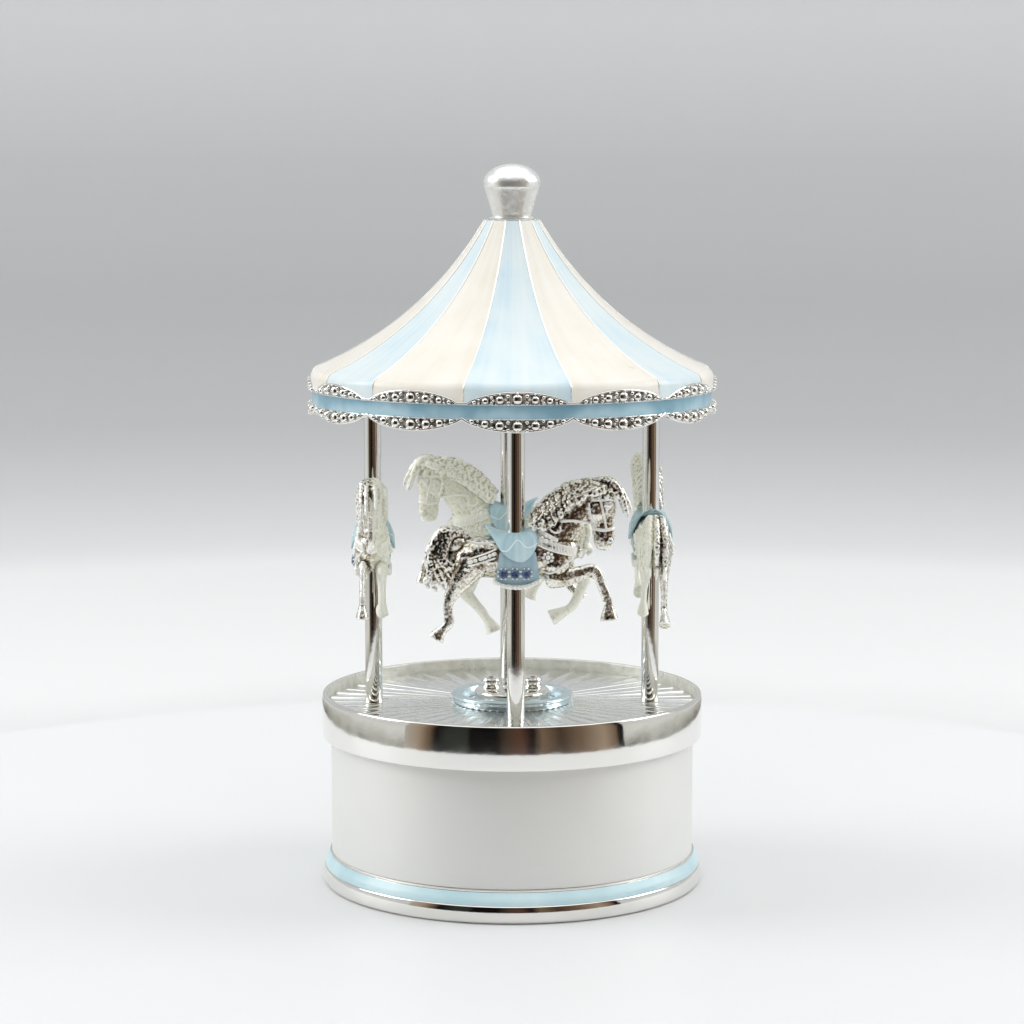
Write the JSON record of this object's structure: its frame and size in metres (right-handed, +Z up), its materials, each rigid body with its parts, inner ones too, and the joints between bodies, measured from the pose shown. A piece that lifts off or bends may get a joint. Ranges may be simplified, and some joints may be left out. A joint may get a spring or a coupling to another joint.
{
  "type": "carousel music box",
  "caption": "Clockwork carousel music box: silver drum with a turning fluted deck, horses on poles and a striped canopy with a beaded scalloped valance.",
  "frame": {"origin": "on the floor under the foot, on the vertical turning axis", "axes": "+Z up along the turning axis, -Y towards the front horse, +X to its right, the way that horse faces"},
  "size_m": [0.0878, 0.0878, 0.155],
  "materials": {
    "polished_silver": "polished silver plate on a zinc casting, mirror bright",
    "satin_silver": "satin silver plate with a fine horizontal grain",
    "fluted_silver": "bright silver plate with fine radial flutes",
    "cast_silver": "bright silver plate over cast relief, darker in the grooves",
    "pale_blue_enamel": "pale sky-blue pearl enamel, glossy",
    "cream_enamel": "ivory cream enamel, glossy",
    "blue_enamel": "mid-blue pearl enamel in a recessed channel",
    "saddle_enamel": "mid-blue pearl enamel over cast saddle relief",
    "blue_crystal": "faceted dark-blue glass stone",
    "steel": "plain turned steel",
    "brass": "turned brass",
    "zinc_casting": "die-cast zinc, close to cast iron in density",
    "nylon": "natural nylon washer"
  },
  "bodies": {
    "base": {"foot_ring": "polished_silver", "foot_enamel_band": "pale_blue_enamel", "drum_shell": "satin_silver", "bottom_plate": "satin_silver", "bottom_screws": "steel", "drum_top_plate": "satin_silver", "bearing_bush": "brass", "movement_bedplate": "zinc_casting", "movement_screws": "steel", "cylinder_bracket_inner": "zinc_casting", "cylinder_bracket_outer": "zinc_casting", "comb": "steel", "comb_screws": "steel", "governor_frame": "zinc_casting"},
    "key": {"winding_key": "steel", "winding_arbor": "steel"},
    "carousel": {"spring_barrel": "brass", "mainspring": "steel", "crown_wheel": "brass", "output_shaft": "steel", "thrust_washer": "nylon", "lid_rim": "polished_silver", "turntable_deck": "fluted_silver", "turntable_hub": "polished_silver", "hub_ring": "polished_silver", "hub_screws": "polished_silver", "pole_front": "polished_silver", "pole_right": "polished_silver", "pole_back": "polished_silver", "pole_left": "polished_silver", "pole_foot_nuts": "steel", "pole_top_nuts": "steel", "horse_front": "cast_silver", "horse_right": "cast_silver", "horse_back": "cast_silver", "horse_left": "cast_silver", "saddle_front": "saddle_enamel", "saddle_right": "saddle_enamel", "saddle_back": "saddle_enamel", "saddle_left": "saddle_enamel", "saddle_crystals": "blue_crystal", "canopy_shell": "cast_silver", "canopy_enamel_blue": "pale_blue_enamel", "canopy_enamel_cream": "cream_enamel", "valance_enamel_band": "blue_enamel", "canopy_plate": "satin_silver", "finial": "polished_silver", "finial_stud": "steel", "finial_nut": "steel"},
    "cylinder": {"pinned_cylinder": "brass", "cylinder_pins": "steel", "cylinder_arbor": "steel", "cylinder_pinion": "brass", "cylinder_gear": "brass"},
    "governor_wheel": {"governor_arbor": "steel", "governor_pinion": "brass", "worm_wheel": "brass"},
    "governor_fly": {"governor_worm": "steel", "governor_fly": "brass"}
  },
  "joints": [
    {"name": "carousel_spin", "type": "hinge", "parent": "base", "child": "carousel", "pos_m": [0, 0, 0.0385], "axis": [0, 0, 1], "continuous": true},
    {"name": "key_wind", "type": "hinge", "parent": "base", "child": "key", "pos_m": [0, 0, 0.009], "axis": [0, 0, 1], "range_deg": [0, 1440]},
    {"name": "cylinder_spin", "type": "hinge", "parent": "base", "child": "cylinder", "pos_m": [0.02, 0, 0.02234], "axis": [1, 0, 0], "continuous": true},
    {"name": "governor_wheel_spin", "type": "hinge", "parent": "base", "child": "governor_wheel", "pos_m": [0.03, 0.007, 0.01862], "axis": [1, 0, 0], "continuous": true},
    {"name": "governor_fly_spin", "type": "hinge", "parent": "base", "child": "governor_fly", "pos_m": [0.03095, 0.01225, 0.02], "axis": [0, 0, 1], "continuous": true}
  ],
  "couplings": [
    {"joint": "cylinder_spin", "follows": "carousel_spin", "ratio": 3.2},
    {"joint": "governor_wheel_spin", "follows": "carousel_spin", "ratio": -12.8},
    {"joint": "governor_fly_spin", "follows": "carousel_spin", "ratio": 204.8}
  ]
}
